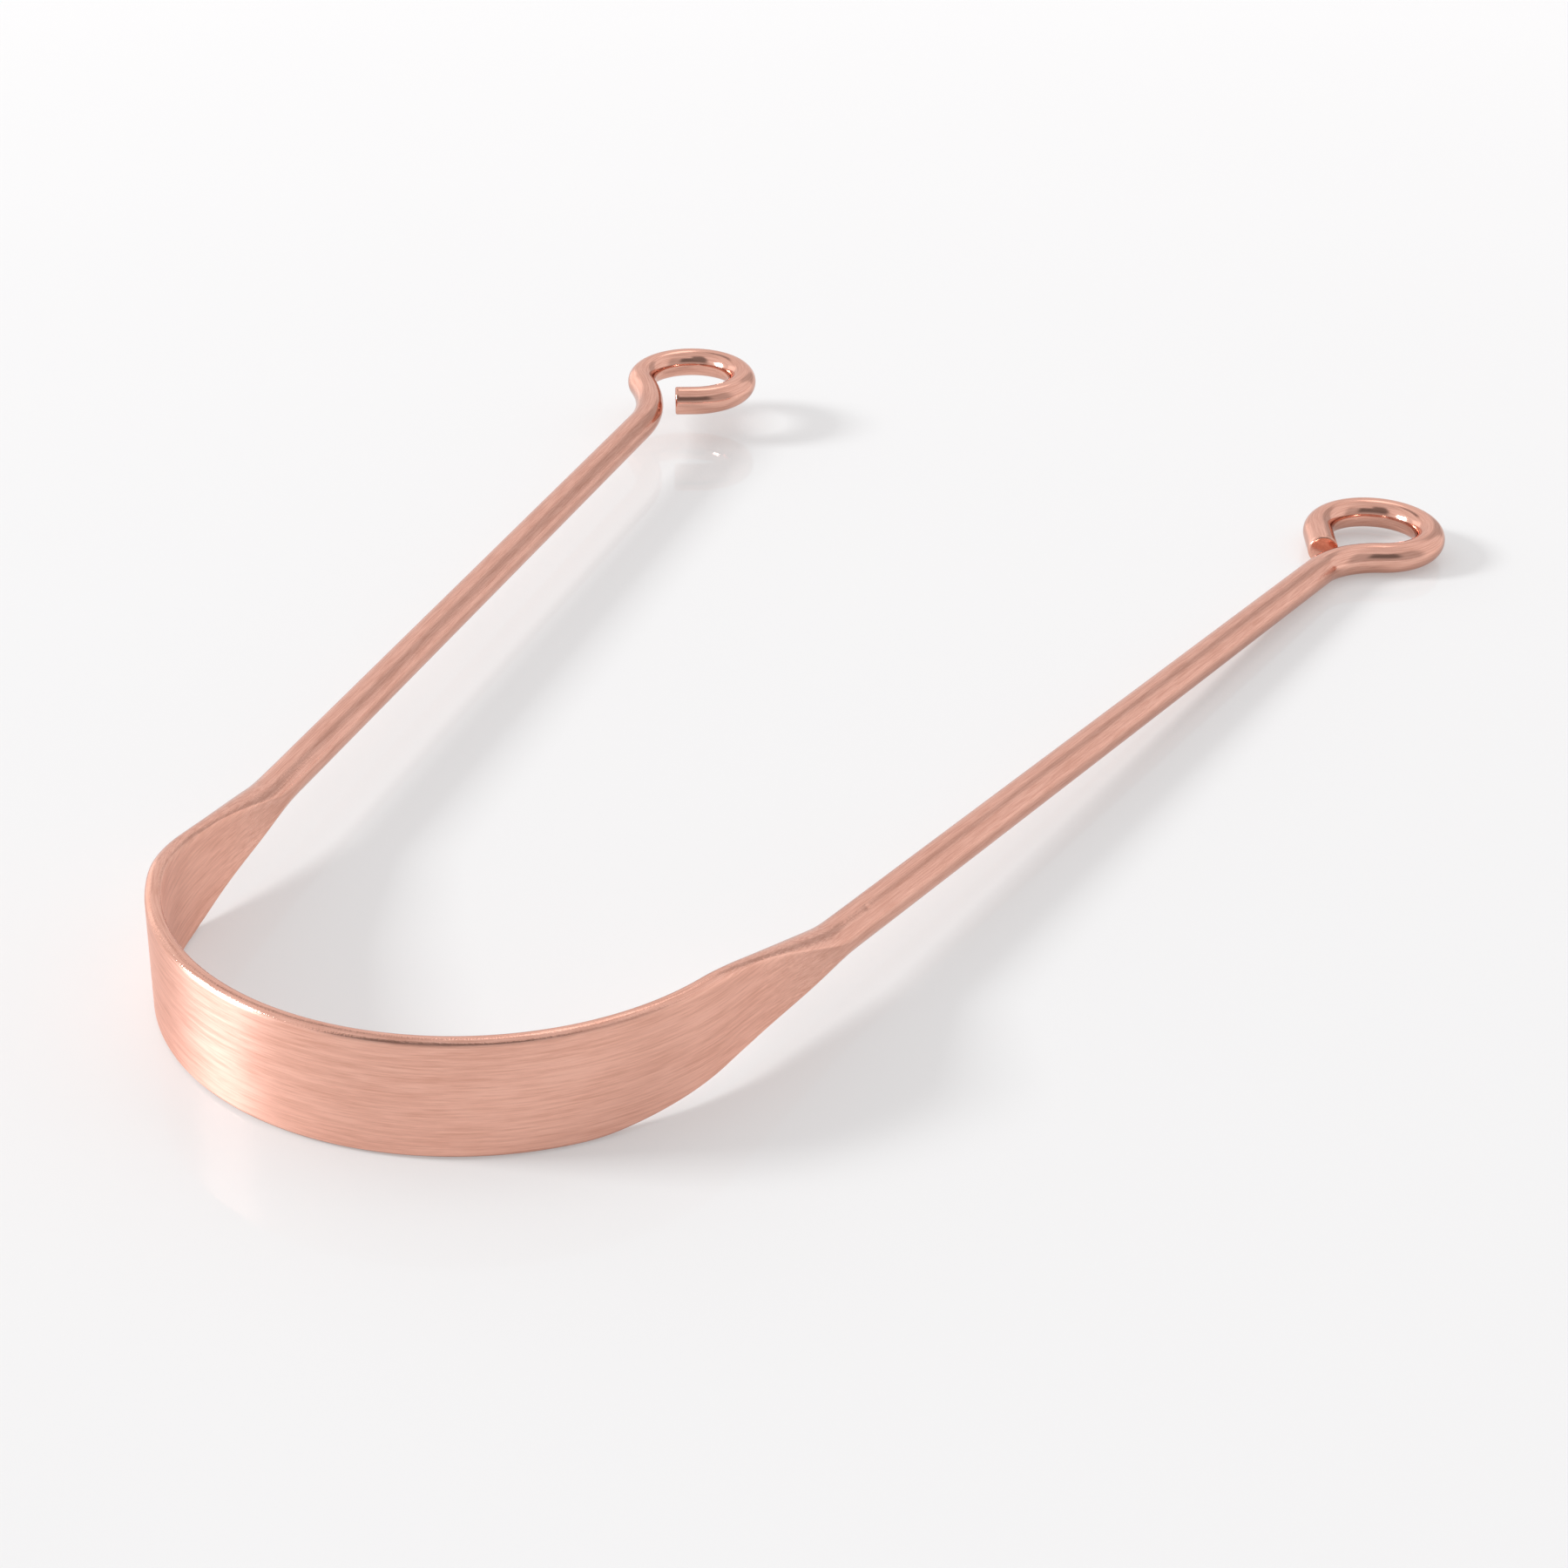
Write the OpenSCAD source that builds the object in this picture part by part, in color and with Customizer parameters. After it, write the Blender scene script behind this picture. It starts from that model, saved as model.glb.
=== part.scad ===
// Tongue scraper: one round copper rod. Its middle is pressed flat, stands on edge and is
// bent into a bow, two arms spread from the bow, and each end is rolled into an eye.
// The arms are sprung by the bow, so each arm turns about the end of the blade.

/* [Rod] */
// Diameter of the round rod
rod_d = 3; // [2.5:0.1:3.8]

/* [Bow and blade] */
// Radius of the bow, to the middle of the strip
bow_r = 22.6; // [20:0.1:28]
// Height of the pressed strip, from edge to edge
blade_h = 9.3; // [7:0.1:12]
// Thickness of the pressed strip
blade_t = 1.2; // [0.9:0.05:1.6]
// Width of the flat left between the two rounds on each long edge of the strip
blade_land = 0.2; // [0.1:0.05:0.5]

/* [Shoulders] */
// Length of bow, measured back from the straight arm, that belongs to a shoulder
shoulder_on_bow = 13; // [12.4:0.1:16]
// Length of straight arm over which a shoulder turns into the round rod
shoulder_on_arm = 18.5; // [18.3:0.1:26]
// Left shoulder, top edge: where it leaves full height, back from the straight arm
left_top_start = 7; // [4:0.1:12]
// Left shoulder, top edge: where it reaches the rod
left_top_end = 12.4; // [8:0.1:18]
// Left shoulder, bottom edge: where it leaves full height
left_bottom_start = 1.2; // [0:0.1:12]
// Left shoulder, bottom edge: where it reaches the rod
left_bottom_end = 14.5; // [8:0.1:18]
// Right shoulder, top edge: where it leaves full height
right_top_start = 1.4; // [0:0.1:12]
// Right shoulder, top edge: where it reaches the rod
right_top_end = 12.9; // [8:0.1:18]
// Right shoulder, bottom edge: where it leaves full height
right_bottom_start = 11.9; // [0:0.1:12]
// Right shoulder, bottom edge: where it reaches the rod
right_bottom_end = 13.7; // [8:0.1:18]
// Where the pressed faces begin to part from each other
press_start = 2; // [0:0.1:6]
// Where the pressed faces have run out into the round rod
press_end = 15; // [10:0.1:18]

/* [Arms] */
// Angle of each arm from straight ahead, in degrees
splay = 8.1; // [0:0.1:15]
// Length of each arm, from the end of the bow to the middle of its eye
arm_len = 116.9; // [90:0.1:150]

/* [Eyes] */
// Radius of an eye, to the middle of the rod
eye_r = 5.6; // [4.8:0.1:7]
// Radius of the bend that leads the left arm outward into its eye
left_neck_r = 20; // [6:0.1:24]
// Radius of the bend that leads the right arm outward into its eye
right_neck_r = 7.7; // [5.2:0.1:24]
// How far the left eye's middle sits inward of its arm
left_eye_inset = 1.2; // [-0.5:0.1:1.5]
// How far the right eye's middle sits inward of its arm
right_eye_inset = -1; // [-1.4:0.1:1]
// Height above the table at which the left arm ends, because its eye doesn't quite reach it
left_eye_lift = 2.8; // [0:0.1:3]
// Angle by which the left eye turns up from its arm, in degrees
left_eye_rise = 3.3; // [0:0.1:6]
// Angle by which the right eye turns up from its arm, in degrees
right_eye_rise = 4; // [2.5:0.1:6]
// Angle short of the arm at which the left eye's last straight bit starts, in degrees
left_eye_gap = 20; // [17:1:40]
// Angle short of the arm at which the right eye's last straight bit starts, in degrees
right_eye_gap = 60; // [56:1:80]
// Length of the straight bit at the left eye's cut end
left_tail = 2; // [0:0.1:2.4]
// Length of the straight bit at the right eye's cut end
right_tail = 4.2; // [0:0.1:4.6]

/* [Flexing joint] */
// Radius of the round nose on which a shoulder turns in the blade's end
nose_r = 1; // [0.9:0.05:1.3]
// Clearance between the nose and its groove
nose_gap = 0.04; // [0.02:0.01:0.08]

/* [Hidden] */
$fn = 96;

LEFT = -1;
RIGHT = 1;

// Overrun of every cut past the solid that it cuts
cut_over = rod_d;
// How sharply each tapered edge falls: 1 is a straight line, more falls early
left_top_power_share = 1.02;
left_bottom_power_share = 1.31;
right_top_power_share = 1.04;
right_bottom_power_share = 0.94;

// Rings along a shoulder, and points round half of one ring
shoulder_steps = 50;
half_points = 12;
// Rings along an eye's bend and round, and sides round the rod there
bend_steps = 8;
round_steps = 60;
round_sides = 24;
// Widest angle of an edge's round, so that the two halves of a ring never share a point
round_limit = 90 - 90 / half_points;

rod_r = rod_d / 2;
mid_h = blade_h / 2;
half_t = blade_t / 2;
blade_edge_r = (blade_t - blade_land) / 2;
eye_out_r = eye_r + rod_r;
// Where the round on the strip's edges begins to grow, back from the straight arm
round_start = shoulder_on_bow / 3;

// Angles of the bow, counted from the front of the bow
bow_half_angle = 90 - splay;
shoulder_angle = shoulder_on_bow / bow_r * 180 / PI;
blade_half_angle = bow_half_angle - shoulder_angle;

// Where the straight arm starts, on the right side
arm_start = [bow_r * cos(splay), -bow_r * sin(splay)];

function clamped(v) = min(max(v, 0), 1);
function eased(v) = let (c = clamped(v)) c * c * (3 - 2 * c);
function mixed(a, b, v) = a + (b - a) * v;
function unit(v) = v / norm(v);

// Where the bend into an eye starts along its arm, and the angle at which it meets the eye
function bend_start(inset, neck_r) =
    arm_len - sqrt(pow(neck_r + eye_r, 2) - pow(neck_r + inset, 2));
function bend_angle(inset, neck_r) =
    atan2(arm_len - bend_start(inset, neck_r), -neck_r - inset);
// Length of arm over which an eye turns up from it
function rise_len(inset, neck_r) = neck_r * sin(bend_angle(inset, neck_r));
// Height gained over the arm, and slope there, at v past the start of the bend
function rise_height(v, len, slope) =
    v < len ? slope * v * v / (2 * len) : slope * (v - len / 2);
function rise_slope(v, len, slope) = slope * clamped(v / len);

left_bend_start = bend_start(left_eye_inset, left_neck_r);
right_bend_start = bend_start(right_eye_inset, right_neck_r);
left_rise_len = rise_len(left_eye_inset, left_neck_r);
right_rise_len = rise_len(right_eye_inset, right_neck_r);
left_slope = tan(left_eye_rise);
right_slope = tan(right_eye_rise);

// Fall of each arm. The right eye dips a little before it rises, down to the table
left_droop = asin((mid_h - rod_r - left_eye_lift) / left_bend_start);
right_fall = asin((mid_h - rod_r) / right_bend_start);
right_dip = right_rise_len * tan(right_fall) * sin(right_fall) / (2 * right_slope);
right_droop = asin((mid_h - rod_r - right_dip) / right_bend_start);

// A point at u along the middle line, moved outward by x, on by y and up by z, right side
function on_bow(u, x, y, z) =
    let (a = -splay + u / bow_r * 180 / PI)
    [(bow_r + x) * cos(a) - y * sin(a), (bow_r + x) * sin(a) + y * cos(a), mid_h + z];
function on_arm(u, x, y, z, droop) =
    let (along = (u + y) * cos(droop) + z * sin(droop), up = z * cos(droop) - (u + y) * sin(droop))
    [arm_start[0] + along * sin(splay) + x * cos(splay),
        arm_start[1] + along * cos(splay) - x * sin(splay), mid_h + up];
function on_path(u, x, y, z, droop) =
    u < 0 ? on_bow(u, x, y, z) : on_arm(u, x, y, z, droop * eased(u / press_start));

// Middle of an eye, on the right side's own axes
function eye_middle(inset, start, len, slope, droop) =
    on_arm(arm_len, -inset, 0, rise_height(arm_len - start, len, slope), droop);
left_eye_middle = eye_middle(left_eye_inset, left_bend_start, left_rise_len, left_slope, left_droop);
right_eye_middle =
    eye_middle(right_eye_inset, right_bend_start, right_rise_len, right_slope, right_droop);

// The frame's origin is under the middle of the whole object, on the table
mid_x = (right_eye_middle[0] - left_eye_middle[0]) / 2;
front_y = -bow_r - half_t;
back_y = max(left_eye_middle[1], right_eye_middle[1]) + eye_out_r;
mid_y = (front_y + back_y) / 2;

// Height of a tapered edge above the strip's middle, at a place u along the arm
function edge_height(u, start, end, power) =
    mixed(rod_r, mid_h, pow(1 - clamped((u + start) / (end + start)), power));
// Half the thickness between the pressed faces
function half_thickness(u) = mixed(half_t, rod_r, eased((u - press_start) / (press_end - press_start)));
// Radius of the round left on the edges, which grows into the rod's own
function edge_round(u, lowest) =
    min(mixed(blade_edge_r, rod_r, eased((u + round_start) / (press_end + round_start))), lowest);

// One half of a ring: the rounded edge at height h, from the outer face to the inner one
function edge_points(w, h, r) =
    let (widest = min(asin(min(1, w / r)), round_limit), land = max(w - r, 0))
    [for (i = [0 : half_points - 1])
        let (a = widest * (1 - 2 * i / (half_points - 1)))
        [r * sin(a) + sign(a) * land, h - r + r * cos(a)]];

// A whole ring at u, outward and up from the middle of the rod
function ring_points(u, top, bottom) =
    let (w = half_thickness(u), lowest = min(top, bottom), r = edge_round(u, lowest),
        upper = edge_points(w, top, r), lower = edge_points(w, bottom, r))
    concat(upper, [for (i = [half_points - 1 : -1 : 0]) [lower[i][0], -lower[i][1]]]);

// Moves a shape from the bow's own axes to the object's frame
module in_frame() {
    translate([-mid_x, -mid_y, 0])
        children();
}

// Turns a shape made for the right side into one for the given side
module on_side(side) {
    if (side == LEFT)
        mirror([1, 0, 0])
            children();
    else
        children();
}

// Places a shape made along +Y, with +X outward, on the arm of one side
module on_arm_axis(side, droop) {
    in_frame()
        on_side(side)
            translate([arm_start[0], arm_start[1], mid_h])
                rotate([0, 0, -splay])
                    rotate([-droop, 0, 0])
                        children();
}

// Outline of the strip cut across, with its long edges rounded
module strip_section() {
    translate([-half_t, blade_edge_r])
        square([blade_t, blade_h - 2 * blade_edge_r]);
    translate([blade_edge_r - half_t, 0])
        square([blade_t - 2 * blade_edge_r, blade_h]);
    for (x = [blade_edge_r - half_t, half_t - blade_edge_r])
        for (y = [blade_edge_r, blade_h - blade_edge_r])
            translate([x, y])
                circle(r = blade_edge_r);
}

// Groove across one end of the blade, round about the axis on which the arm turns
module end_groove(side) {
    on_side(side)
        rotate([0, 0, blade_half_angle - 90])
            translate([bow_r, 0, -cut_over])
                cylinder(r = nose_r + nose_gap, h = blade_h + 2 * cut_over);
}

module scraping_blade() {
    color("#d79f8b")
        in_frame()
            difference() {
                rotate([0, 0, -90 - blade_half_angle])
                    rotate_extrude(angle = 2 * blade_half_angle, $fn = 360)
                        translate([bow_r, 0])
                            strip_section();
                end_groove(LEFT);
                end_groove(RIGHT);
            }
}

// A shoulder as one closed skin, from its round nose to the round rod
module shoulder(side, top_start, top_end, top_power, bottom_start, bottom_end, bottom_power, droop) {
    ring_size = 2 * half_points;
    rings = [for (k = [0 : shoulder_steps])
        let (u = mixed(-shoulder_on_bow, shoulder_on_arm, k / shoulder_steps))
        [for (p = ring_points(u, edge_height(u, top_start, top_end, top_power),
                edge_height(u, bottom_start, bottom_end, bottom_power)))
            let (back = k == 0 ? -sqrt(nose_r * nose_r - p[0] * p[0]) : 0)
            on_path(u, p[0], back, p[1], droop)]];
    points = [for (ring = rings) each ring];
    sides = [for (k = [0 : shoulder_steps - 1]) for (i = [0 : ring_size - 1])
        let (j = (i + 1) % ring_size, a = k * ring_size, b = a + ring_size)
        each [[a + i, b + j, b + i], [a + i, a + j, b + j]]];
    // Each end is closed by strips from the top edge straight down to the bottom edge
    caps = [for (i = [0 : half_points - 2])
        let (m = ring_size - 1 - i, n = m - 1, last = shoulder_steps * ring_size)
        each [[i, n, i + 1], [i, m, n], [last + i, last + i + 1, last + n], [last + i, last + n, last + m]]];
    color("#dca692")
        in_frame()
            on_side(side)
                polyhedron(points = points, faces = concat(sides, caps));
}

module left_shoulder() {
    shoulder(LEFT, left_top_start, left_top_end, left_top_power_share,
        left_bottom_start, left_bottom_end, left_bottom_power_share, left_droop);
}

module right_shoulder() {
    shoulder(RIGHT, right_top_start, right_top_end, right_top_power_share,
        right_bottom_start, right_bottom_end, right_bottom_power_share, right_droop);
}

// The round rod from its shoulder to the bend at its eye
module handle(side, start, droop) {
    color("#cf947f")
        on_arm_axis(side, droop)
            translate([0, shoulder_on_arm, 0])
                rotate([-90, 0, 0])
                    cylinder(d = rod_d, h = start - shoulder_on_arm);
}

module left_handle() {
    handle(LEFT, left_bend_start, left_droop);
}

module right_handle() {
    handle(RIGHT, right_bend_start, right_droop);
}

// Middle line of an eye seen from above, as [x, y, heading]: outward bend, round, straight end
function eye_path(inset, neck_r, gap, tail) =
    let (meet = bend_angle(inset, neck_r), start = bend_start(inset, neck_r), stop = 270 - gap,
        bend = [for (k = [0 : bend_steps - 1])
            let (a = mixed(180, meet, k / bend_steps))
            [neck_r * (1 + cos(a)), start + neck_r * sin(a), a - 90]],
        round = [for (k = [0 : round_steps])
            let (a = mixed(meet - 180, stop, k / round_steps))
            [eye_r * cos(a) - inset, arm_len + eye_r * sin(a), a + 90]],
        last = round[round_steps])
    concat(bend, round,
        tail > 0 ? [[last[0] + tail * cos(last[2]), last[1] + tail * sin(last[2]), last[2]]] : []);

// An eye as one closed skin swept along its middle line, which turns up from the arm
module eye(side, inset, neck_r, slope, gap, tail, droop) {
    start = bend_start(inset, neck_r);
    len = rise_len(inset, neck_r);
    path = eye_path(inset, neck_r, gap, tail);
    count = len(path);
    points = [for (p = path)
        let (v = p[1] - start, s = rise_slope(v, len, slope), up = unit([0, -s, 1]),
            along = unit([cos(p[2]), sin(p[2]), s * sin(p[2])]), across = cross(up, along))
        for (i = [0 : round_sides - 1])
            let (b = 360 * i / round_sides)
            [p[0], p[1], rise_height(v, len, slope)] + rod_r * (cos(b) * across + sin(b) * up)];
    sides = [for (k = [0 : count - 2]) for (i = [0 : round_sides - 1])
        let (j = (i + 1) % round_sides, a = k * round_sides, b = a + round_sides)
        each [[a + i, b + i, b + j], [a + i, b + j, a + j]]];
    caps = [for (i = [1 : round_sides - 2])
        let (a = (count - 1) * round_sides)
        each [[0, i, i + 1], [a, a + i + 1, a + i]]];
    color("#e0ab97")
        on_arm_axis(side, droop)
            polyhedron(points = points, faces = concat(sides, caps));
}

module left_eye() {
    eye(LEFT, left_eye_inset, left_neck_r, left_slope, left_eye_gap, left_tail, left_droop);
}

module right_eye() {
    eye(RIGHT, right_eye_inset, right_neck_r, right_slope, right_eye_gap, right_tail, right_droop);
}

scraping_blade();
left_shoulder();
left_handle();
left_eye();
right_shoulder();
right_handle();
right_eye();
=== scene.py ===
"""A copper tongue scraper on a pale table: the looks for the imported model."""

import math

import bpy
import numpy as np
from mathutils import Matrix, Vector


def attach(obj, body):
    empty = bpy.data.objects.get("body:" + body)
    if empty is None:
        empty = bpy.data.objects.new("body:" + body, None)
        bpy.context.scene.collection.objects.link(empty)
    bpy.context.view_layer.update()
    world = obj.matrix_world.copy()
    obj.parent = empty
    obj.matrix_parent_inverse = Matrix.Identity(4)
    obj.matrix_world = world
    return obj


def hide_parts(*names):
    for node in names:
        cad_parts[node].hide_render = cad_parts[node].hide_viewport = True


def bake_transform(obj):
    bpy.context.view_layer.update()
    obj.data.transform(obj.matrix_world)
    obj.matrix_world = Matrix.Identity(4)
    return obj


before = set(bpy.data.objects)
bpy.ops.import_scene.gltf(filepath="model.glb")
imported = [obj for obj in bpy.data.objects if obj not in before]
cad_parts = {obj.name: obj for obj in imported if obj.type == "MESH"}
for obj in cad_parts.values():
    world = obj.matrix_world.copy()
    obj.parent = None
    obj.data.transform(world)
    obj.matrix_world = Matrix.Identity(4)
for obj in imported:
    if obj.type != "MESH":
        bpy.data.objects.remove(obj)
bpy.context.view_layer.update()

MM = 0.001

# Sizes of the object, in millimetres, as in its source
ROD_R = 1.5
BOW_R = 22.6
MID_H = 4.65
HALF_T = 0.6
EDGE_R = 0.5
SHOULDER_ON_BOW = 13.0
SHOULDER_ON_ARM = 18.5
PRESS_START, PRESS_END = 2.0, 15.0
ROUND_START = SHOULDER_ON_BOW / 3
SPLAY = math.radians(8.1)
ARM_LEN = 116.9
EYE_R = 5.6
SIDES = {
    "left": dict(sign=-1, top=(7.0, 12.4, 1.02), bottom=(1.2, 14.5, 1.31), neck=20.0, inset=1.2,
                 gap=20.0, tail=2.0, rise=math.radians(3.3), lift=2.8, lip=0.09),
    "right": dict(sign=1, top=(1.4, 12.9, 1.04), bottom=(11.9, 13.7, 0.94), neck=7.7, inset=-1.0,
                  gap=60.0, tail=4.2, rise=math.radians(4.0), lift=0.0, lip=0.05),
}
# Points down a pressed face and rings along a shoulder
FACE_POINTS = 16
SHOULDER_RINGS = 341
# Rings along the blade, along a handle, and along an eye's bend, its round and its straight tail
BLADE_RINGS, HANDLE_RINGS = 241, 60
BEND_RINGS, ROUND_RINGS, TAIL_RINGS = 24, 130, 9
# Wrinkles and pits that the press left: place along the arm in millimetres, angle round the rod
# in degrees, reach along and across, depth, and slant in radians
DENTS = {
    "left": [
        (5.2, 118, 0.9, 0.16, 0.03, -0.3), (9.4, 150, 0.5, 0.25, 0.03, 0.4),
        (10.6, 158, 0.35, 0.3, 0.04, 0.0), (13.0, 60, 1.6, 0.2, 0.03, 0.1),
        (15.2, 75, 1.2, 0.16, 0.03, 0.0), (12.0, 82, 0.8, 0.15, 0.025, -0.2),
    ],
    "right": [
        (3.4, 76, 0.50, 0.10, 0.035, -0.9), (4.3, 73, 0.45, 0.10, 0.04, -0.8),
        (5.1, 71, 0.50, 0.09, 0.04, -0.9), (5.8, 68, 0.40, 0.10, 0.05, -0.8),
        (6.5, 65, 0.50, 0.10, 0.05, -0.7), (7.3, 61, 0.40, 0.11, 0.05, -0.6),
        (8.1, 57, 0.55, 0.12, 0.05, -0.5), (9.0, 50, 0.30, 0.20, 0.06, 0.0),
        (9.4, 36, 0.25, 0.20, 0.05, 0.0), (10.3, -20, 0.28, 0.18, 0.06, 0.3),
        (11.0, -11, 0.30, 0.16, 0.05, 0.0), (12.6, -17, 0.8, 0.12, 0.03, 0.1),
        (14.5, 89, 0.30, 0.15, 0.04, 0.0), (15.8, 86, 0.45, 0.12, 0.04, 0.2),
        (17.2, 64, 0.30, 0.15, 0.04, 0.0), (13.4, 70, 0.9, 0.10, 0.03, 0.1),
        (16.6, 34, 0.6, 0.12, 0.03, 0.1), (12.2, 96, 0.4, 0.12, 0.03, -0.2),
    ],
}
ARM_X, ARM_Y = BOW_R * math.cos(SPLAY), -BOW_R * math.sin(SPLAY)
# Length along the rod from the front of the bow to the start of an arm
BOW_LEN = BOW_R * (math.pi / 2 - SPLAY)

# Points in a quarter of a section, and the radius that softens the crease beside a pressed face
QUARTER = 15
CREASE_R = 0.28
# Half height at which a flat face begins between the rounds, and over which it comes in full
FACE_BEGINS, FACE_COMES = 0.1, 0.7
# How squarely a point has to face sideways to lie on a pressed face, and the softness of that
PRESSED_FACING, PRESSED_SOFT = 0.75, 0.2
# Radius left on the cut ends of the rod, and the degrees at which rings step round it
CUT_R = 0.2
CUT_STEPS = (20, 40, 60, 75, 90)
# Half the length over which a tapered edge's two ends are worn round, and samples over it
EDGE_WEAR, WEAR_SAMPLES = 1.3, 9
# The lip along a pressed face: where it begins, over what length it comes and goes, and its form
LIP_START, LIP_FADE, LIP_DEPTH, LIP_WIDTH = 9.0, 8.0, 0.75, 0.42
LIP_FACING, LIP_SOFT = 0.2, 0.6


def rise_height(v, side):
    """Height that an eye's middle line has gained over its arm at v past the bend's start."""
    length, slope = side["rise_len"], math.tan(side["rise"])
    c = np.clip(v, 0, None)
    return np.where(c < length, slope * c * c / (2 * length), slope * (c - length / 2))


def rise_slope(v, side):
    return math.tan(side["rise"]) * np.clip(v / side["rise_len"], 0, 1)


for side in SIDES.values():
    neck, inset = side["neck"], side["inset"]
    side["start"] = ARM_LEN - math.sqrt((neck + EYE_R) ** 2 - (neck + inset) ** 2)
    side["meet"] = math.atan2(ARM_LEN - side["start"], -neck - inset)
    side["rise_len"] = neck * math.sin(side["meet"])
    # The right eye dips a little before it rises, down to the table
    fall = math.asin((MID_H - ROD_R) / side["start"])
    dip = side["rise_len"] * math.tan(fall) * math.sin(fall) / (2 * math.tan(side["rise"]))
    drop = MID_H - ROD_R - (side["lift"] or dip)
    side["droop"] = math.asin(drop / side["start"])


def eye_middle(side):
    """Middle of an eye on its side's own axes, as seen from above."""
    height = float(rise_height(ARM_LEN - side["start"], side))
    flat = ARM_LEN * math.cos(side["droop"]) + height * math.sin(side["droop"])
    return (ARM_X + flat * math.sin(SPLAY) - side["inset"] * math.cos(SPLAY),
            ARM_Y + flat * math.cos(SPLAY) + side["inset"] * math.sin(SPLAY))


MID_X = (eye_middle(SIDES["right"])[0] - eye_middle(SIDES["left"])[0]) / 2
BACK_Y = max(eye_middle(s)[1] for s in SIDES.values()) + EYE_R + ROD_R
MID_Y = (BACK_Y - BOW_R - HALF_T) / 2


def eased(v):
    c = np.clip(v, 0, 1)
    return c * c * (3 - 2 * c)


def mixed(a, b, v):
    return a + (b - a) * v


def edge_height(u, start, end, power):
    """Height of a tapered edge, whose two ends are worn a little round."""
    near = u[:, None] + np.linspace(-EDGE_WEAR, EDGE_WEAR, WEAR_SAMPLES)[None, :]
    fall = (1 - np.clip((near + start) / (end + start), 0, 1)) ** power
    return mixed(ROD_R, MID_H, fall.mean(1))


def section(u, side, face_points=0):
    """Points of the rod cut across at u, outward and up, and the directions that they face."""
    w = mixed(HALF_T, ROD_R, eased((u - PRESS_START) / (PRESS_END - PRESS_START)))
    r = mixed(EDGE_R, ROD_R, eased((u + ROUND_START) / (PRESS_END + ROUND_START)))
    f = np.minimum(CREASE_R, w / 2)
    arc = r > w
    # Beside a pressed face the big round ends early, and a small one leads into the face
    lean = np.where(arc, np.sqrt(np.maximum((r - f) ** 2 - (w - f) ** 2, 0)), 0)
    turn = np.where(arc, np.arcsin(np.clip((w - f) / np.maximum(r - f, 1e-6), 0, 1)), math.pi / 2)
    halves = []
    for h in (edge_height(u, *side["top"]), edge_height(u, *side["bottom"])):
        low = h - r + lean
        flat = eased((low - FACE_BEGINS) / FACE_COMES)
        a = math.pi / 2 * (np.arange(QUARTER)[None, :] + 0.5) / (QUARTER - 0.5 * flat[:, None])
        big = a <= turn[:, None]
        wide = np.where(arc, r, w)[:, None]
        x = np.where(big, wide * np.sin(a), (w - f)[:, None] + f[:, None] * np.sin(a))
        z = np.where(big, (h - r)[:, None] + r[:, None] * np.cos(a),
                     low[:, None] + f[:, None] * np.cos(a))
        nx, nz = np.sin(a) * np.where(arc, 1, r / w)[:, None], np.cos(a)
        n = np.hypot(nx, nz)
        halves.append((x, z, nx / n, nz / n))
    (xu, zu, nxu, nzu), (xl, zl, nxl, nzl) = halves
    # Points down a pressed face, closer together near its edges
    t = 0.5 - 0.5 * np.cos(np.pi * np.arange(1, face_points + 1) / (face_points + 1))
    xf = mixed(xu[:, -1:], xl[:, -1:], t[None, :])
    zf = mixed(zu[:, -1:], -zl[:, -1:], t[None, :])
    one, none = np.ones_like(xf), np.zeros_like(xf)

    def ring(outer_top, inner_top, inner_face, inner_low, outer_low, outer_face):
        """Over the top, down the inner face, along the bottom and up the outer face."""
        return np.concatenate([outer_top[:, ::-1], inner_top, inner_face,
                               inner_low[:, ::-1], outer_low, outer_face[:, ::-1]], 1)

    pts = np.stack([ring(xu, -xu, -xf, -xl, xl, xf), ring(zu, zu, zf, -zl, -zl, zf)], -1)
    dirs = np.stack([ring(nxu, -nxu, -one, -nxl, nxl, one),
                     ring(nzu, nzu, none, -nzl, -nzl, none)], -1)
    return pts, dirs


def around(pts):
    """Direction round each ring at each point, and the distance between its two neighbours."""
    step = np.roll(pts, -1, axis=1) - np.roll(pts, 1, axis=1)
    length = np.linalg.norm(step, axis=-1, keepdims=True)
    return step / length, length


def dented(pts, dirs, lift):
    """Moves each point of the rings by lift, in millimetres, the way it faces."""
    along, length = around(pts)
    tilt = (np.roll(lift, -1, axis=1) - np.roll(lift, 1, axis=1))[..., None] / length
    turned = dirs - tilt * along
    turned /= np.linalg.norm(turned, axis=-1, keepdims=True)
    return pts + lift[..., None] * dirs, turned


def pressed_share(u, dirs):
    """1 on the brushed flat faces, 0 on the edges and on the round rod."""
    faded = 1 - eased((u - PRESS_START) / (PRESS_END - PRESS_START))
    return eased((np.abs(dirs[..., 0]) - PRESSED_FACING) / PRESSED_SOFT) * faded[:, None]


def lips(u, pts, dirs, height):
    """A low rolled lip along both edges of a pressed face, where the metal was pushed aside."""
    top, bottom = pts[..., 1].max(1, keepdims=True), pts[..., 1].min(1, keepdims=True)
    depth = np.minimum(top - pts[..., 1], pts[..., 1] - bottom)
    flat = eased((np.abs(dirs[..., 0]) - LIP_FACING) / LIP_SOFT)
    share = eased((u + LIP_START) / LIP_FADE) * (1 - eased((u - LIP_FADE) / LIP_FADE))
    return height * share[:, None] * flat * np.exp(-((depth - LIP_DEPTH) / LIP_WIDTH) ** 2)


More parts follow.
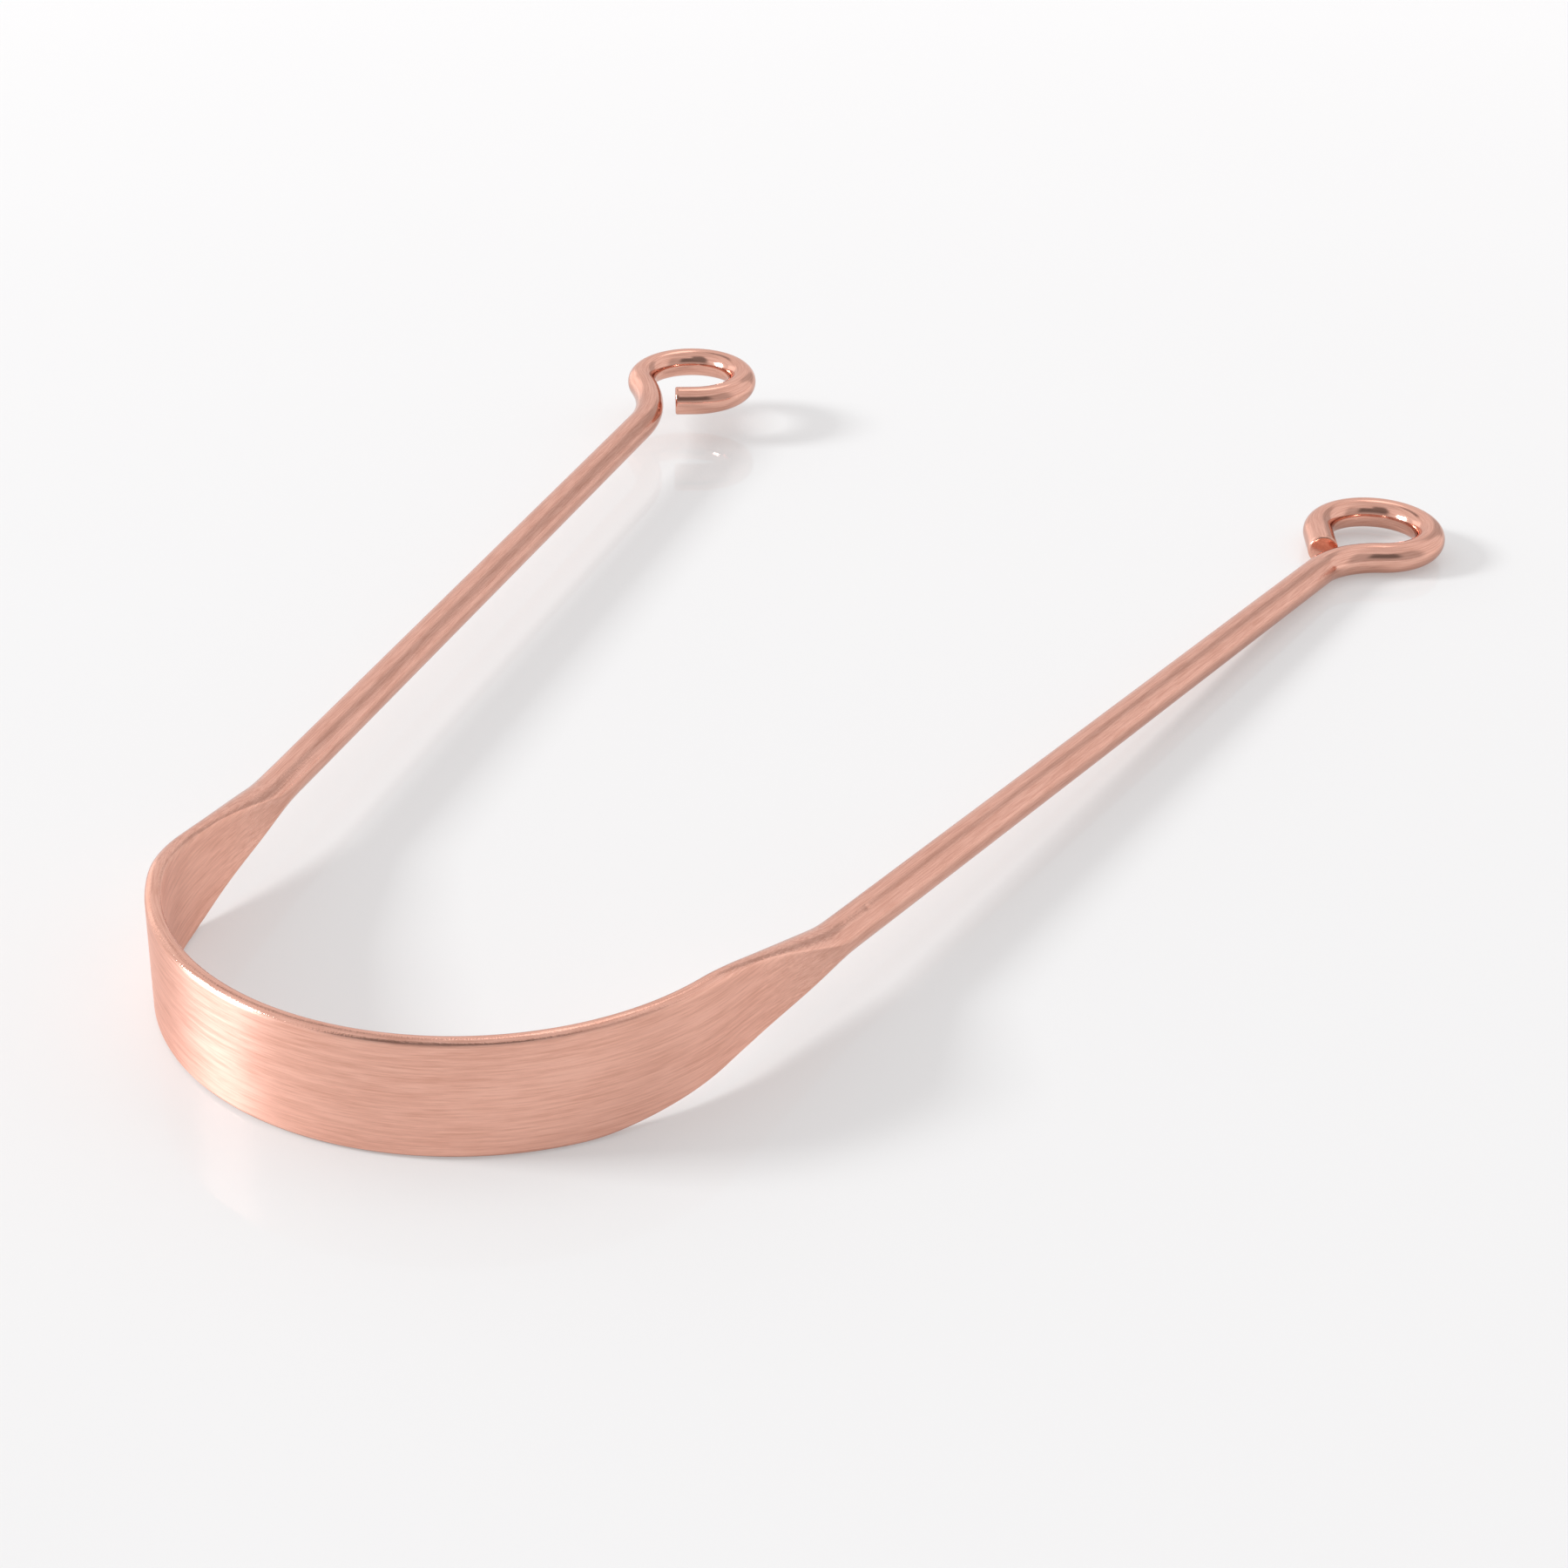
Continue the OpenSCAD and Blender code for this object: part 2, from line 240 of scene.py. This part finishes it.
def dent(u, pts, at, angle, reach_u, reach_q, depth, turn=0.0):
    """One dent at a place along the rod and an angle round it; turn slants a long one."""
    way = np.degrees(np.arctan2(pts[..., 1], pts[..., 0]))
    q = np.radians((way - angle + 180) % 360 - 180) * np.hypot(pts[..., 0], pts[..., 1])
    du = (u - at)[:, None]
    a = (du * math.cos(turn) + q * math.sin(turn)) / reach_u
    b = (q * math.cos(turn) - du * math.sin(turn)) / reach_q
    return -depth * np.exp(-a * a - b * b)


def line_through(u, side):
    """The rod's middle line at u on the right side's axes, and its outward, up and onward ways."""
    a = -SPLAY + np.minimum(u, 0) / BOW_R
    zero = np.zeros(len(u))
    out = np.stack([np.cos(a), np.sin(a), zero], -1)
    on = np.stack([-np.sin(a), np.cos(a), zero], -1)
    up = np.stack([zero, zero, zero + 1], -1)
    mid = out * BOW_R + up * MID_H
    d = side["droop"] * eased(u / PRESS_START)
    far = u > 0
    flat_on = on.copy()
    on[far] = (flat_on * np.cos(d)[:, None] - up * np.sin(d)[:, None])[far]
    up[far] = (flat_on * np.sin(d)[:, None] + up * np.cos(d)[:, None])[far]
    mid[far] = (np.array([ARM_X, ARM_Y, MID_H]) + on * u[:, None])[far]
    return mid, out, up, on


def placed(v, sign, point=True):
    """From one side's own axes to the object's frame, in millimetres."""
    v = v * np.array([sign, 1.0, 1.0])
    return v - np.array([MID_X, MID_Y, 0.0]) if point else v


def skin(name, rings, normals, coords, pressed, on, sign, mat):
    """A closed mesh swept through rings, with the true normals of the swept surface."""
    count, size = rings.shape[:2]
    faces, loops = [], []
    for k in range(count - 1):
        for i in range(size):
            j = (i + 1) % size
            quad = [(k, i), (k + 1, i), (k + 1, j), (k, j)]
            if sign < 0:
                quad.reverse()
            faces.append([q[0] * size + q[1] for q in quad])
            loops += [tuple(normals[q]) for q in quad]
    for k, way in ((0, -1), (count - 1, 1)):
        order = list(range(size))
        if (way > 0) == (sign > 0):
            order.reverse()
        faces.append([k * size + i for i in order])
        loops += [tuple(on[k] * way)] * size
    mesh = bpy.data.meshes.new(name)
    mesh.from_pydata([tuple(v) for v in rings.reshape(-1, 3) * MM], [], faces)
    mesh.update()
    mesh.polygons.foreach_set("use_smooth", [True] * len(mesh.polygons))
    place = mesh.attributes.new("rod_place", "FLOAT_VECTOR", "POINT")
    place.data.foreach_set("vector", coords.reshape(-1).astype(np.float32))
    run = mesh.attributes.new("rod_run", "FLOAT_VECTOR", "POINT")
    run.data.foreach_set("vector", np.repeat(on, size, axis=0).reshape(-1).astype(np.float32))
    face = mesh.attributes.new("rod_pressed", "FLOAT", "POINT")
    face.data.foreach_set("value", pressed.reshape(-1).astype(np.float32))
    mesh.normals_split_custom_set(loops)
    obj = bpy.data.objects.new(name, mesh)
    bpy.context.scene.collection.objects.link(obj)
    mesh.materials.append(mat)
    return obj


def swept(name, s, pts, dirs, line, sign, mat, pressed=None):
    """Sweeps sections along a middle line; s is the length of rod from the front of the bow."""
    mid, out, up, on = line
    if pressed is None:
        pressed = np.zeros(pts.shape[:2])
    rings = mid[:, None] + pts[..., :1] * out[:, None] + pts[..., 1:] * up[:, None]
    change = np.gradient(pts, s, axis=0)
    lean = -(dirs * change).sum(-1, keepdims=True)
    v = dirs[..., :1] * out[:, None] + dirs[..., 1:] * up[:, None] + lean * on[:, None]
    v = placed(v, sign, point=False)
    v /= np.linalg.norm(v, axis=-1, keepdims=True)
    along = np.broadcast_to(s[:, None, None], pts.shape[:2] + (1,)) * sign
    coords = np.concatenate([along, pts], -1)
    onward = placed(on, sign, point=False)
    return skin(name, placed(rings, sign), v, coords, pressed, onward, sign, mat)


# ---------------------------------------------------------------- materials
def node(tree, kind, **values):
    """A new node with its settings; a value named in_Detail sets the input named Detail."""
    n = tree.nodes.new(kind)
    for key, value in values.items():
        if key.startswith("in_"):
            n.inputs[key[3:].replace("_", " ")].default_value = value
        else:
            setattr(n, key, value)
    return n


# Noises in the copper: scale along and across the rod per millimetre, detail and roughness
FINE = dict(scale=(0.34, 7.5, 7.5), in_Detail=3.0, in_Roughness=0.65)
STRANDS = dict(scale=(0.18, 3.4, 3.4), in_Detail=3.0, in_Roughness=0.6)
BROAD = dict(scale=(0.12, 0.5, 0.5), in_Detail=2.0, in_Roughness=0.5)
SPECKS = dict(scale=(6.0, 6.0, 6.0), in_Detail=2.0, in_Roughness=0.6)
# Shares of the noises in the colour, and the two ends of its ramp
FINE_SHARE, STRANDS_SHARE, BROAD_SHARE = 0.60, 0.20, 0.20
DARK_AT, DARK_COPPER = 0.38, (0.675, 0.354, 0.267, 1)
PALE_AT, PALE_COPPER = 0.59, (0.835, 0.48, 0.378, 1)
EDGE_TINT = (0.82, 0.76, 0.74, 1)
# A quarter turn, so that the gloss spreads across the brush marks
BRUSH_TURN = 0.25
# How much the pressed faces' colour is raised over the drawn rod's: painted light, a brightening
# that stands in for the light the faces reflect
PAINTED_FACE_LIGHT = 0.21
# Values of the strands between which the roughness goes from one factor to the other
STRANDS_LOW, STRANDS_HIGH = 0.3, 0.7
SMOOTHER, ROUGHER = 0.95, 1.05
# Depth of the brush marks and of the drawn rod's pits
STREAK_DEPTH, PIT_DEPTH = 0.012 * MM, 0.02 * MM


def copper(name, rough, face_rough, aniso, streak, grain):
    """Copper whose pressed faces are brushed lengthwise and carry a painted brightening; the rest
    of it is as drawn.
    """
    mat = bpy.data.materials.new(name)
    mat.use_nodes = True
    t = mat.node_tree
    shader = t.nodes["Principled BSDF"]
    shader.inputs["Metallic"].default_value = 1.0
    shader.inputs["Specular Tint"].default_value = EDGE_TINT
    shader.inputs["Anisotropic"].default_value = aniso
    shader.inputs["Anisotropic Rotation"].default_value = BRUSH_TURN
    place = node(t, "ShaderNodeAttribute", attribute_name="rod_place")
    run = node(t, "ShaderNodeAttribute", attribute_name="rod_run")
    to_world = node(t, "ShaderNodeVectorTransform", vector_type="VECTOR",
                    convert_from="OBJECT", convert_to="WORLD")
    t.links.new(run.outputs["Vector"], to_world.inputs["Vector"])
    t.links.new(to_world.outputs["Vector"], shader.inputs["Tangent"])

    def stretched(scale, **settings):
        mapping = node(t, "ShaderNodeMapping")
        mapping.inputs["Scale"].default_value = scale
        t.links.new(place.outputs["Vector"], mapping.inputs["Vector"])
        noise = node(t, "ShaderNodeTexNoise", in_Scale=1.0, **settings)
        t.links.new(mapping.outputs["Vector"], noise.inputs["Vector"])
        return noise.outputs["Fac"]

    def remap(value, low, high, to_low, to_high):
        m = node(t, "ShaderNodeMapRange")
        for i, v in enumerate((low, high, to_low, to_high)):
            m.inputs[1 + i].default_value = v
        t.links.new(value, m.inputs["Value"])
        return m.outputs["Result"]

    def maths(operation, *values):
        m = node(t, "ShaderNodeMath", operation=operation)
        for i, v in enumerate(values):
            if isinstance(v, (int, float)):
                m.inputs[i].default_value = v
            else:
                t.links.new(v, m.inputs[i])
        return m.outputs[0]

    fine, strands = stretched(**FINE), stretched(**STRANDS)
    broad, specks = stretched(**BROAD), stretched(**SPECKS)
    pressed = node(t, "ShaderNodeAttribute", attribute_name="rod_pressed").outputs["Fac"]

    ramp = node(t, "ShaderNodeValToRGB")
    ends = ((DARK_AT, DARK_COPPER), (PALE_AT, PALE_COPPER))
    for element, (position, colour) in zip(ramp.color_ramp.elements, ends):
        element.position, element.color = position, colour
    mottle = maths("ADD", maths("MULTIPLY", fine, FINE_SHARE),
                   maths("MULTIPLY", strands, STRANDS_SHARE))
    t.links.new(maths("ADD", mottle, maths("MULTIPLY", broad, BROAD_SHARE)), ramp.inputs["Fac"])
    # Painted light: the colour is made brighter on the pressed faces, standing in for the light
    # they reflect
    painted_colour = node(t, "ShaderNodeVectorMath", operation="SCALE")
    t.links.new(ramp.outputs["Color"], painted_colour.inputs[0])
    painted_light = maths("ADD", maths("MULTIPLY", pressed, PAINTED_FACE_LIGHT), 1.0)
    t.links.new(painted_light, painted_colour.inputs["Scale"])
    t.links.new(painted_colour.outputs["Vector"], shader.inputs["Base Color"])

    base = maths("ADD", maths("MULTIPLY", pressed, face_rough - rough), rough)
    spread = remap(strands, STRANDS_LOW, STRANDS_HIGH, SMOOTHER, ROUGHER)
    t.links.new(maths("MULTIPLY", base, spread), shader.inputs["Roughness"])

    bump = node(t, "ShaderNodeBump")
    bump.inputs["Strength"].default_value = streak
    bump.inputs["Distance"].default_value = STREAK_DEPTH
    t.links.new(fine, bump.inputs["Height"])
    bare = maths("SUBTRACT", 1.0, pressed)
    pits = node(t, "ShaderNodeBump")
    pits.inputs["Strength"].default_value = grain
    pits.inputs["Distance"].default_value = PIT_DEPTH
    t.links.new(maths("MULTIPLY", specks, bare), pits.inputs["Height"])
    t.links.new(bump.outputs["Normal"], pits.inputs["Normal"])
    t.links.new(pits.outputs["Normal"], shader.inputs["Normal"])
    return mat


brushed = copper("copper_brushed", rough=0.15, face_rough=0.36, aniso=0.88, streak=0.8, grain=0.9)
satin = copper("copper_satin", rough=0.24, face_rough=0.24, aniso=0.60, streak=0.4, grain=0.35)
polished = copper("copper_polished", rough=0.14, face_rough=0.14, aniso=0.20, streak=0.15,
                  grain=0.10)

# ---------------------------------------------------------------- the seven stretches of the rod
blade_half = BOW_LEN - SHOULDER_ON_BOW
s_blade = np.linspace(-blade_half, blade_half, BLADE_RINGS)
blade_u = np.full(len(s_blade), -SHOULDER_ON_BOW)
blade_pts, blade_dirs = section(blade_u, SIDES["right"], FACE_POINTS)
phi = s_blade / BOW_R
zero = np.zeros_like(phi)
b_out = np.stack([np.sin(phi), -np.cos(phi), zero], -1)
b_on = np.stack([np.cos(phi), np.sin(phi), zero], -1)
b_up = np.stack([zero, zero, zero + 1], -1)
blade_line = (b_out * BOW_R + b_up * MID_H, b_out, b_up, b_on)
blade = swept("bow_blade", s_blade, blade_pts, blade_dirs, blade_line, 1, brushed,
              pressed_share(blade_u, blade_dirs))
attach(blade, "bow")
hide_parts("scraping_blade")
# Every piece of the object, for the lamp that lights the copper
metal = [blade]


def eye_path(side):
    """Middle line of an eye on its arm's axes: x outward, y along, heading in radians.

    The second array is how much each ring is drawn in."""
    inset, neck, start, meet = side["inset"], side["neck"], side["start"], side["meet"]
    stop = math.radians(270 - side["gap"])
    rows = []
    for k in range(BEND_RINGS):
        a = mixed(math.pi, meet, k / BEND_RINGS)
        rows.append((neck * (1 + math.cos(a)), start + neck * math.sin(a), a - math.pi / 2))
    for k in range(ROUND_RINGS + 1):
        a = mixed(meet - math.pi, stop, k / ROUND_RINGS)
        rows.append((EYE_R * math.cos(a) - inset, ARM_LEN + EYE_R * math.sin(a), a + math.pi / 2))
    x, y, h = rows[-1]
    # The last rings step round the softened edge of the cut end
    steps = list(np.linspace(0, side["tail"] - CUT_R, TAIL_RINGS)[1:])
    shrink = [1.0] * (len(rows) + len(steps))
    for a in np.radians(CUT_STEPS):
        steps.append(side["tail"] - CUT_R * (1 - math.sin(a)))
        shrink.append(1 - CUT_R * (1 - math.cos(a)) / ROD_R)
    for d in steps:
        rows.append((x + d * math.cos(h), y + d * math.sin(h), h))
    return np.array(rows), np.array(shrink)


def arm_to_side(v, side, point=True):
    """From an arm's own axes (x outward, y along, z up) to its side's axes."""
    d = side["droop"]
    y = v[:, 1] * math.cos(d) + v[:, 2] * math.sin(d)
    z = v[:, 2] * math.cos(d) - v[:, 1] * math.sin(d)
    x = v[:, 0]
    out = np.stack([x * math.cos(SPLAY) + y * math.sin(SPLAY),
                    y * math.cos(SPLAY) - x * math.sin(SPLAY), z], -1)
    return out + np.array([ARM_X, ARM_Y, MID_H]) if point else out


def unit(v):
    return v / np.linalg.norm(v, axis=-1, keepdims=True)


for side_name, side in SIDES.items():
    sign = side["sign"]
    body = side_name + "_arm"
    # Shoulder
    u = np.linspace(-SHOULDER_ON_BOW, SHOULDER_ON_ARM, SHOULDER_RINGS)
    pts, dirs = section(u, side, FACE_POINTS)
    pressed = pressed_share(u, dirs)
    lift = lips(u, pts, dirs, side["lip"])
    for marks in DENTS[side_name]:
        lift = lift + dent(u, pts, *marks)
    pts, dirs = dented(pts, dirs, lift)
    line = line_through(u, side)
    shoulder = swept(side_name + "_shoulder_taper", BOW_LEN + u, pts, dirs, line, sign, brushed,
                     pressed)
    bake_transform(shoulder)
    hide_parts(side_name + "_shoulder")
    # Straight rod
    u = np.linspace(SHOULDER_ON_ARM, side["start"], HANDLE_RINGS)
    pts, dirs = section(np.full(len(u), SHOULDER_ON_ARM), side)
    handle = swept(side_name + "_handle_rod", BOW_LEN + u, pts, dirs, line_through(u, side), sign,
                   satin)
    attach(handle, body)
    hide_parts(side_name + "_handle")
    # Eye
    path, shrink = eye_path(side)
    v = path[:, 1] - side["start"]
    h = path[:, 2]
    slope = rise_slope(v, side)
    zero = np.zeros(len(h))
    mid = np.stack([path[:, 0], path[:, 1], rise_height(v, side)], -1)
    on = unit(np.stack([np.cos(h), np.sin(h), slope * np.sin(h)], -1))
    up = unit(np.stack([zero, -slope, zero + 1], -1))
    out = np.cross(on, up)
    far = np.r_[0, np.cumsum(np.linalg.norm(np.diff(mid, axis=0), axis=1))]
    line = (arm_to_side(mid, side), *(arm_to_side(d, side, point=False) for d in (out, up, on)))
    pts, dirs = section(np.full(len(h), SHOULDER_ON_ARM), side)
    pts = pts * shrink[:, None, None]
    eye = swept(side_name + "_eye_ring", BOW_LEN + side["start"] + far, pts, dirs, line, sign,
                polished)
    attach(eye, body)
    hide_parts(side_name + "_eye")
    metal += [shoulder, handle, eye]

# ---------------------------------------------------------------- table, light and camera
FLOOR = 3.0
FLOOR_COLOUR = (0.55, 0.55, 0.55, 1)
FLOOR_ROUGH, FLOOR_IOR = 0.03, 1.18
# The camera and the metal see the table this much whiter than the lamps make it
FLOOR_LIFT = 0.30

floor_mat = bpy.data.materials.new("table_white")
floor_mat.use_nodes = True
floor_tree = floor_mat.node_tree
floor_shader = floor_tree.nodes["Principled BSDF"]
floor_shader.inputs["Base Color"].default_value = FLOOR_COLOUR
floor_shader.inputs["Roughness"].default_value = FLOOR_ROUGH
floor_shader.inputs["IOR"].default_value = FLOOR_IOR
floor_shader.inputs["Emission Color"].default_value = (1, 1, 1, 1)
rays = node(floor_tree, "ShaderNodeLightPath")
seen = node(floor_tree, "ShaderNodeMath", operation="ADD")
floor_tree.links.new(rays.outputs["Is Camera Ray"], seen.inputs[0])
floor_tree.links.new(rays.outputs["Is Glossy Ray"], seen.inputs[1])
lifted = node(floor_tree, "ShaderNodeMath", operation="MULTIPLY")
floor_tree.links.new(seen.outputs[0], lifted.inputs[0])
lifted.inputs[1].default_value = FLOOR_LIFT
floor_tree.links.new(lifted.outputs[0], floor_shader.inputs["Emission Strength"])
floor_mesh = bpy.data.meshes.new("table")
corners = [(-FLOOR, -FLOOR, 0), (FLOOR, -FLOOR, 0), (FLOOR, FLOOR, 0), (-FLOOR, FLOOR, 0)]
floor_mesh.from_pydata(corners, [], [(0, 1, 2, 3)])
floor = bpy.data.objects.new("table", floor_mesh)
bpy.context.scene.collection.objects.link(floor)
floor_mesh.materials.append(floor_mat)

world = bpy.data.worlds.new("studio")
bpy.context.scene.world = world
world.use_nodes = True
wt = world.node_tree
back = wt.nodes["Background"]
sky_from = node(wt, "ShaderNodeTexCoord").outputs["Generated"]


def banded(value, low, high, soft):
    """1 between low and high, falling to 0 over a width of soft on both sides, in degrees."""
    sides = []
    for edge, a, b in ((low, 0, 1), (high, 1, 0)):
        m = node(wt, "ShaderNodeMapRange", interpolation_type="SMOOTHSTEP")
        for i, v in enumerate((edge - soft / 2, edge + soft / 2, a, b)):
            m.inputs[1 + i].default_value = v
        wt.links.new(value, m.inputs["Value"])
        sides.append(m.outputs["Result"])
    both = node(wt, "ShaderNodeMath", operation="MULTIPLY")
    for i in (0, 1):
        wt.links.new(sides[i], both.inputs[i])
    return both.outputs[0]


def in_degrees(value):
    m = node(wt, "ShaderNodeMath", operation="DEGREES")
    wt.links.new(value, m.inputs[0])
    return m.outputs[0]


def bearing(centre):
    """Degrees clockwise from a compass bearing, where +Y is north."""
    turned = node(wt, "ShaderNodeVectorRotate", rotation_type="Z_AXIS")
    turned.inputs["Angle"].default_value = math.radians(centre)
    wt.links.new(sky_from, turned.inputs["Vector"])
    parts = node(wt, "ShaderNodeSeparateXYZ")
    wt.links.new(turned.outputs["Vector"], parts.inputs[0])
    m = node(wt, "ShaderNodeMath", operation="ARCTAN2")
    wt.links.new(parts.outputs["X"], m.inputs[0])
    wt.links.new(parts.outputs["Y"], m.inputs[1])
    return in_degrees(m.outputs[0])


sky_parts = node(wt, "ShaderNodeSeparateXYZ")
wt.links.new(sky_from, sky_parts.inputs[0])
sky_arc = node(wt, "ShaderNodeMath", operation="ARCSINE")
wt.links.new(sky_parts.outputs["Z"], sky_arc.inputs[0])
sky_height = in_degrees(sky_arc.outputs[0])

# Brightness and tint of the studio, and its panels, which cover each other in this order:
# bearing of the middle, half width, lowest and highest, softness, all in degrees, and brightness
STUDIO_LEVEL, STUDIO_TINT = 0.95, (1.01, 0.985, 0.99, 1)
PANELS = (
    (0, 200, 62, 120, 20, 0.80),
    (140, 62, -20, 52, 20, 0.58),
    (158, 40, 18, 50, 16, 0.19),
    (180, 24, 30, 66, 14, 0.25),
    (10, 12, -20, 40, 8, 0.62),
    (-63, 16, -20, 24, 8, 1.45),
    (-50, 10, 40, 62, 6, 0.40),
    (-15, 15, 50, 68, 5, 1.80),
)
level = None
for centre, half, low, high, soft, bright in PANELS:
    mask = banded(sky_height, low, high, soft)
    if half < 180:
        both = node(wt, "ShaderNodeMath", operation="MULTIPLY")
        wt.links.new(mask, both.inputs[0])
        wt.links.new(banded(bearing(centre), -half, half, soft), both.inputs[1])
        mask = both.outputs[0]
    mix = node(wt, "ShaderNodeMix", data_type="FLOAT")
    mix.inputs["A"].default_value = STUDIO_LEVEL
    mix.inputs["B"].default_value = bright
    if level is not None:
        wt.links.new(level, mix.inputs["A"])
    wt.links.new(mask, mix.inputs["Factor"])
    level = mix.outputs["Result"]
wt.links.new(level, back.inputs["Strength"])
back.inputs["Color"].default_value = STUDIO_TINT


LAMP_DISTANCE = 5.0


def softbox(name, bearing_deg, height_deg, size, radiance, colour):
    """A flat lamp aimed at the object; its bearing is clockwise from +Y, its size in metres."""
    data = bpy.data.lights.new(name, "AREA")
    data.shape = "RECTANGLE"
    data.size, data.size_y = size
    data.energy = radiance * math.pi * size[0] * size[1]
    data.color = colour
    lamp = bpy.data.objects.new(name, data)
    bpy.context.scene.collection.objects.link(lamp)
    b, e = math.radians(bearing_deg), math.radians(height_deg)
    towards = Vector((math.sin(b) * math.cos(e), math.cos(b) * math.cos(e), math.sin(e)))
    place = towards * LAMP_DISTANCE
    lamp.location = place
    lamp.rotation_euler = (-place).to_track_quat("-Z", "Y").to_euler()
    return lamp


def lights_only(lamp, pieces, mirrored):
    """The lamp lights these pieces alone; mirrored says whether they show its image too."""
    lit = bpy.data.collections.new(lamp.name + "_lit")
    for piece in pieces:
        lit.objects.link(piece)
    lamp.light_linking.receiver_collection = lit
    lamp.visible_camera = False
    lamp.visible_glossy = mirrored


# The highlight on the copper asks for a low, wide lamp, and the shadows for a higher, smaller one
key_left = softbox("key_left", bearing_deg=-118, height_deg=17, size=(2.2, 1.5), radiance=22.0,
                   colour=(0.86, 1.0, 1.12))
lights_only(key_left, metal, mirrored=True)
key_on_table = softbox("key_on_table", bearing_deg=-114, height_deg=27, size=(1.3, 0.95),
                       radiance=48.0, colour=(0.975, 1.0, 1.005))
lights_only(key_on_table, [floor], mirrored=False)

# The photograph's camera, fitted to the outlines: turns in radians, place and lens in millimetres
YAW, PITCH, ROLL = -0.41321, 0.48564, 0.03123
LENS, SENSOR = 62.937, 36.0
NEAREST = 10 * MM
EYE_POINT = Vector((88.711, -197.268, 107.878)) * MM
ahead = Vector((math.sin(YAW) * math.cos(PITCH), math.cos(YAW) * math.cos(PITCH),
                -math.sin(PITCH)))
right0 = Vector((math.cos(YAW), -math.sin(YAW), 0))
up0 = right0.cross(ahead)
right = right0 * math.cos(ROLL) + up0 * math.sin(ROLL)
upward = up0 * math.cos(ROLL) - right0 * math.sin(ROLL)
cam_data = bpy.data.cameras.new("camera")
cam_data.lens = LENS
cam_data.sensor_width = SENSOR
cam_data.clip_start = NEAREST
cam = bpy.data.objects.new("camera", cam_data)
bpy.context.scene.collection.objects.link(cam)
turn = Matrix((right, upward, -ahead)).transposed().to_4x4()
cam.matrix_world = Matrix.Translation(EYE_POINT) @ turn
bpy.context.scene.camera = cam
bpy.context.scene.view_settings.view_transform = "Standard"
